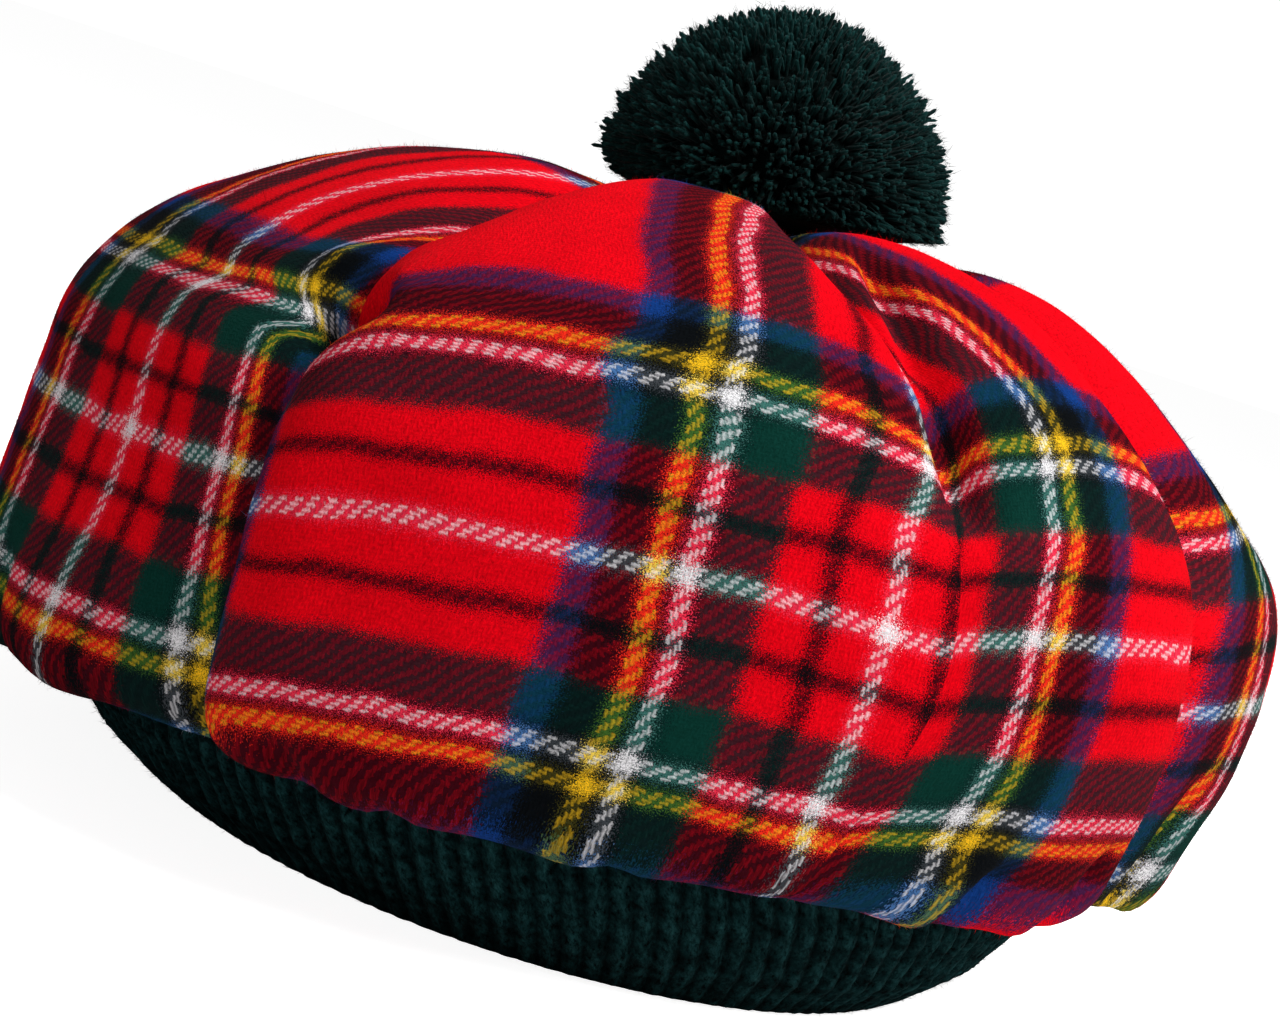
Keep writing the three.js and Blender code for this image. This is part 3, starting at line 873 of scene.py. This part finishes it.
class BONNET_OT_pompom(bpy.types.Operator):
    """Make the pompom: cut yarns with frayed ends, bound at its middle"""
    bl_idname = "bonnet.pompom"
    bl_label = "Yarn pompom"

    sides = 4
    fray_count = 5
    fray_width = 0.09 * MM
    core_share = 0.84
    lift = 0.1

    def centre(self, size):
        height = seam_height(size) + size.crown_rise + self.lift * size.pompom_radius
        return np.array((size.crown_drift + size.pompom_drift, 0, height))

    def above_crown(self, size, points, clearance):
        """The lowest height that clears the crown under each point."""
        top_share, samples = 0.72, 60
        radius, height = crown_profile(size, np.linspace(top_share, 1, samples))[:2]
        x, y = points[:, 0], points[:, 1]
        under = np.interp(np.hypot(x - size.crown_drift, y), radius[::-1], height[::-1])
        return under + x * math.tan(size.crown_lean) + clearance

    def yarns(self, size):
        """Roots, tips and own shades of the yarns, evenly spread over all but the ball's foot."""
        spread_height, unrest, clump_scale, clump_pull = 1.82, 0.05, 9, 0.13
        trimmed, uneven, droop, root_share = 0.985, 0.024, 0.06, 0.45
        narrowing, narrow_start, narrow_span = 0.4, 0.05, 0.6
        clearance, root_lift = 1.2 * MM, 1 * MM
        chance = np.random.default_rng(31)
        count = size.yarn_count
        order = np.arange(count)
        upward = 1 - (spread_height * (order + 0.5)) / count
        across = np.sqrt(1 - upward**2)
        turn = np.pi * (3 - math.sqrt(5)) * order
        way = np.stack((across * np.cos(turn), across * np.sin(turn), upward), axis=-1)
        way += chance.normal(size=way.shape) * unrest
        noise.seed_set(35)
        way += np.array([noise.noise_vector(Vector(line) * clump_scale) for line in way]) * clump_pull
        way /= np.linalg.norm(way, axis=1, keepdims=True)
        reach = size.pompom_radius * (trimmed + chance.normal(size=count) * uneven)
        reach *= 1 - narrowing * smooth((narrow_start - way[:, 2]) / narrow_span)
        tips = self.centre(size) + way * reach[:, None]
        tips[:, 2] -= droop * np.hypot(*(way[:, :2] * reach[:, None]).T)
        floor = self.above_crown(size, tips, clearance)
        tips[:, 2] = np.maximum(tips[:, 2], floor)
        roots = self.centre(size) + way * size.pompom_radius * root_share
        roots[:, 2] = np.maximum(roots[:, 2], floor + root_lift)
        return roots, tips, chance.random(count)

    def tubes(self, size, roots, tips, shades):
        """Each yarn as a turning tube with a bent middle and a rounded end."""
        sway, twist, slimmest, slim_span = 1.1 * MM, 1.4, 0.85, 0.3
        stations, askew = ((0.0, 0.8), (0.6, 1.0), (0.97, 0.8)), (0.31, 0.17, 0.93)
        chance = np.random.default_rng(32)
        count = len(roots)
        axis = tips - roots
        run = np.linalg.norm(axis, axis=1, keepdims=True)
        axis /= run
        side = np.cross(axis, askew)
        side /= np.linalg.norm(side, axis=1, keepdims=True)
        other = np.cross(axis, side)
        bends = chance.normal(size=(count, 2, 1)) * sway
        bow = bends[:, 0] * side + bends[:, 1] * other
        thick = size.yarn_radius * (slimmest + slim_span * chance.random((count, 1)))
        rings = []
        for along, fat in stations:
            middle = roots + axis * run * along + bow * math.sin(math.pi * along)
            for index in range(self.sides):
                turn = 2 * math.pi * index / self.sides + along * twist
                rings.append(middle + (side * math.cos(turn) + other * math.sin(turn)) * thick * fat)
        rings.append(roots + axis * run)
        points = np.stack(rings, axis=1)
        per_yarn = points.shape[1]
        faces, alongs = [], []
        for ring in range(len(stations) - 1):
            for index in range(self.sides):
                after = (index + 1) % self.sides
                low, high = ring * self.sides, (ring + 1) * self.sides
                faces.append((low + index, low + after, high + after, high + index))
                alongs += [stations[ring][0]] * 2 + [stations[ring + 1][0]] * 2
        top = (len(stations) - 1) * self.sides
        caps = [(top + index, top + (index + 1) % self.sides, per_yarn - 1) for index in range(self.sides)]
        base = np.arange(count)[:, None, None] * per_yarn
        quads = (base + np.array(faces)).reshape(-1, 4)
        ends = (base + np.array(caps)).reshape(-1, 3)
        quad_uvs = np.stack((np.tile(alongs, count), np.repeat(shades, len(alongs))), axis=-1)
        end_uvs = np.stack((np.ones(len(ends) * 3), np.repeat(shades, self.sides * 3)), axis=-1)
        uvs = np.concatenate((quad_uvs, end_uvs))
        return smooth_object("pompom_yarns", points.reshape(-1, 3), quads.tolist() + ends.tolist(), uvs)

    def frays(self, roots, tips, shades):
        """Loose hairs that spread from the cut ends."""
        unrest, inside, scatter, bend = 0.42, 0.62, 0.45 * MM, 0.25
        shortest, extra = 0.7, 1.1
        chance = np.random.default_rng(33)
        starts = np.repeat(tips, self.fray_count, axis=0)
        ways = np.repeat(tips - roots, self.fray_count, axis=0)
        ways /= np.linalg.norm(ways, axis=1, keepdims=True)
        ways += chance.normal(size=ways.shape) * unrest
        length = (shortest + extra * chance.random((len(starts), 1))) * MM
        ways *= length
        starts = starts - ways * inside + chance.normal(size=ways.shape) * scatter
        bends = chance.normal(size=ways.shape) * length * bend
        uvs = np.stack((np.ones(len(starts)), np.repeat(shades, self.fray_count)), axis=-1)
        return fibres("pompom_frays", starts, ways, bends, self.fray_width, uvs, seed=34)

    def core(self, size):
        """The dense heart of the pompom, where its yarns are bound, painted dark with the shade inside the
        ball.
        """
        clearance, shade = 0.8 * MM, 0.25
        bpy.ops.object.select_all(action="DESELECT")
        bpy.ops.mesh.primitive_ico_sphere_add(subdivisions=4, radius=size.pompom_radius * self.core_share)
        piece = bpy.context.object
        piece.name = piece.data.name = "pompom_core"
        mesh = piece.data
        mesh.uv_layers[0].name = "threads"
        place = mesh_points(mesh) + self.centre(size)
        place[:, 2] = np.maximum(place[:, 2], self.above_crown(size, place, clearance))
        # The core's UV value paints it dark, as painted shade inside the ball.
        place_mesh(piece, place + hat_axis(), np.full(len(mesh.loops) * 2, shade))
        bpy.ops.object.shade_smooth()
        return piece

    def execute(self, context):
        size, colours = context.scene.bonnet_sizes, context.scene.bonnet_colours
        material = pompom_material(colours)
        roots, tips, shades = self.yarns(size)
        roots, tips = roots + hat_axis(), tips + hat_axis()
        dress(self.tubes(size, roots, tips, shades), "pompom", material)
        dress(self.frays(roots, tips, shades), None, material)
        dress(self.core(size), None, material)
        return {"FINISHED"}


class BONNET_OT_stage(bpy.types.Operator):
    """Lay a pale floor and set the studio light and the camera"""
    bl_idname = "bonnet.stage"
    bl_label = "Floor, light and camera"

    def floor(self):
        bpy.ops.object.select_all(action="DESELECT")
        bpy.ops.mesh.primitive_plane_add(size=12)
        floor = bpy.context.object
        floor.name = "floor"
        material, tree, shader = new_material("floor_white", sheen=0, specular=0, roughness=0.9)
        shader.inputs["Base Color"].default_value = (0.9, 0.9, 0.9, 1)
        shader.inputs["Emission Color"].default_value = (1, 1, 1, 1)
        seen = add_node(tree, "ShaderNodeLightPath").outputs["Is Camera Ray"]
        tree.links.new(times(tree, seen, 0.9), shader.inputs["Emission Strength"])
        floor.data.materials.append(material)

    def lamp(self, name, place, aim, power, width):
        data = bpy.data.lights.new(name, "AREA")
        data.energy = power
        data.size = width
        lamp = bpy.data.objects.new(name, data)
        lamp.location = place
        lamp.rotation_euler = (Vector(aim) - Vector(place)).to_track_quat("-Z", "Y").to_euler()
        bpy.context.collection.objects.link(lamp)

    def world(self):
        light, backdrop = 0.09, 1.05
        world = bpy.data.worlds.new("studio")
        world.use_nodes = True
        tree = world.node_tree
        background = tree.nodes["Background"]
        background.inputs["Color"].default_value = (1, 1, 1, 1)
        seen = add_node(tree, "ShaderNodeLightPath").outputs["Is Camera Ray"]
        tree.links.new(mix_values(tree, seen, light, backdrop), background.inputs["Strength"])
        bpy.context.scene.world = world

    def camera(self):
        distance, aim_height, aim_side = 0.6, 0.076, 0.0007
        elevation, roll = math.radians(7.5), math.radians(18.1)
        frame_width, focal_pixels, sensor = 1280, 2750, 36
        aim = Vector((aim_side, 0, aim_height)) + Vector(hat_axis())
        back = Vector((0, -math.cos(elevation), math.sin(elevation)))
        across = Vector((1, 0, 0))
        upright = back.cross(across)
        right = across * math.cos(roll) + upright * math.sin(roll)
        up = upright * math.cos(roll) - across * math.sin(roll)
        data = bpy.data.cameras.new("camera")
        data.sensor_width = sensor
        data.sensor_fit = "HORIZONTAL"
        data.lens = focal_pixels / frame_width * sensor
        camera = bpy.data.objects.new("camera", data)
        turn = Matrix((right, up, back)).transposed().to_4x4()
        camera.matrix_world = Matrix.Translation(aim + back * distance) @ turn
        bpy.context.collection.objects.link(camera)
        bpy.context.scene.camera = camera

    def execute(self, context):
        self.floor()
        self.lamp("key", (0.74, -0.62, 0.92), (0, 0, 0.08), power=12, width=0.35)
        self.lamp("fill", (-0.8, -0.9, 0.35), (0, 0, 0.08), power=1.5, width=0.8)
        self.lamp("top", (0.15, 0.2, 1.2), (0, 0, 0.1), power=8, width=0.5)
        self.world()
        self.camera()
        context.scene.view_settings.view_transform = "Standard"
        return {"FINISHED"}


STEPS = (BONNET_OT_stage, BONNET_OT_crown, BONNET_OT_band, BONNET_OT_pompom)


class BONNET_PT_panel(bpy.types.Panel):
    """The bonnet's sizes, colours and pieces"""
    bl_idname = "BONNET_PT_panel"
    bl_label = "Tam o shanter"
    bl_space_type = "VIEW_3D"
    bl_region_type = "UI"
    bl_category = "Bonnet"

    def draw(self, context):
        for group in (context.scene.bonnet_sizes, context.scene.bonnet_colours):
            for name in group.__annotations__:
                self.layout.prop(group, name)
        for step in STEPS:
            self.layout.operator(step.bl_idname)


CLASSES = (BonnetSizes, BonnetColours, *STEPS, BONNET_PT_panel)


def register():
    for item in CLASSES:
        bpy.utils.register_class(item)
    bpy.types.Scene.bonnet_sizes = bpy.props.PointerProperty(type=BonnetSizes)
    bpy.types.Scene.bonnet_colours = bpy.props.PointerProperty(type=BonnetColours)


def unregister():
    del bpy.types.Scene.bonnet_colours
    del bpy.types.Scene.bonnet_sizes
    for item in reversed(CLASSES):
        bpy.utils.unregister_class(item)


def main():
    register()
    bpy.ops.bonnet.stage()
    bpy.ops.bonnet.crown()
    bpy.ops.bonnet.band()
    bpy.ops.bonnet.pompom()


if __name__ == "__main__":
    main()
